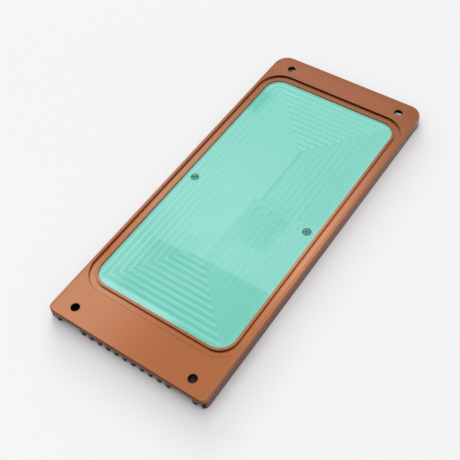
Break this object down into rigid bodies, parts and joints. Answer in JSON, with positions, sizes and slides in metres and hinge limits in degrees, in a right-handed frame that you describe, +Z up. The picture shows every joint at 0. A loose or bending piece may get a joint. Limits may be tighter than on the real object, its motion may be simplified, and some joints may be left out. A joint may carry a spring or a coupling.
{
  "type": "motor controller heat sink",
  "caption": "Flat finned plate that cools a motor controller, with a seal groove round a shallow pocket that a protective film covers.",
  "frame": {"origin": "under the middle of the plate, level with the fin tips", "axes": "+X across the plate, +Y along it towards the end with the large corners, +Z up out of the sealing face"},
  "size_m": [0.09, 0.2, 0.0066],
  "materials": {
    "anodised_aluminium": "satin copper-brown anodised, machined",
    "protective_film": "thin see-through mint film"
  },
  "bodies": {
    "root": {"heat_sink": "anodised_aluminium", "protective_film": "protective_film"}
  },
  "joints": []
}
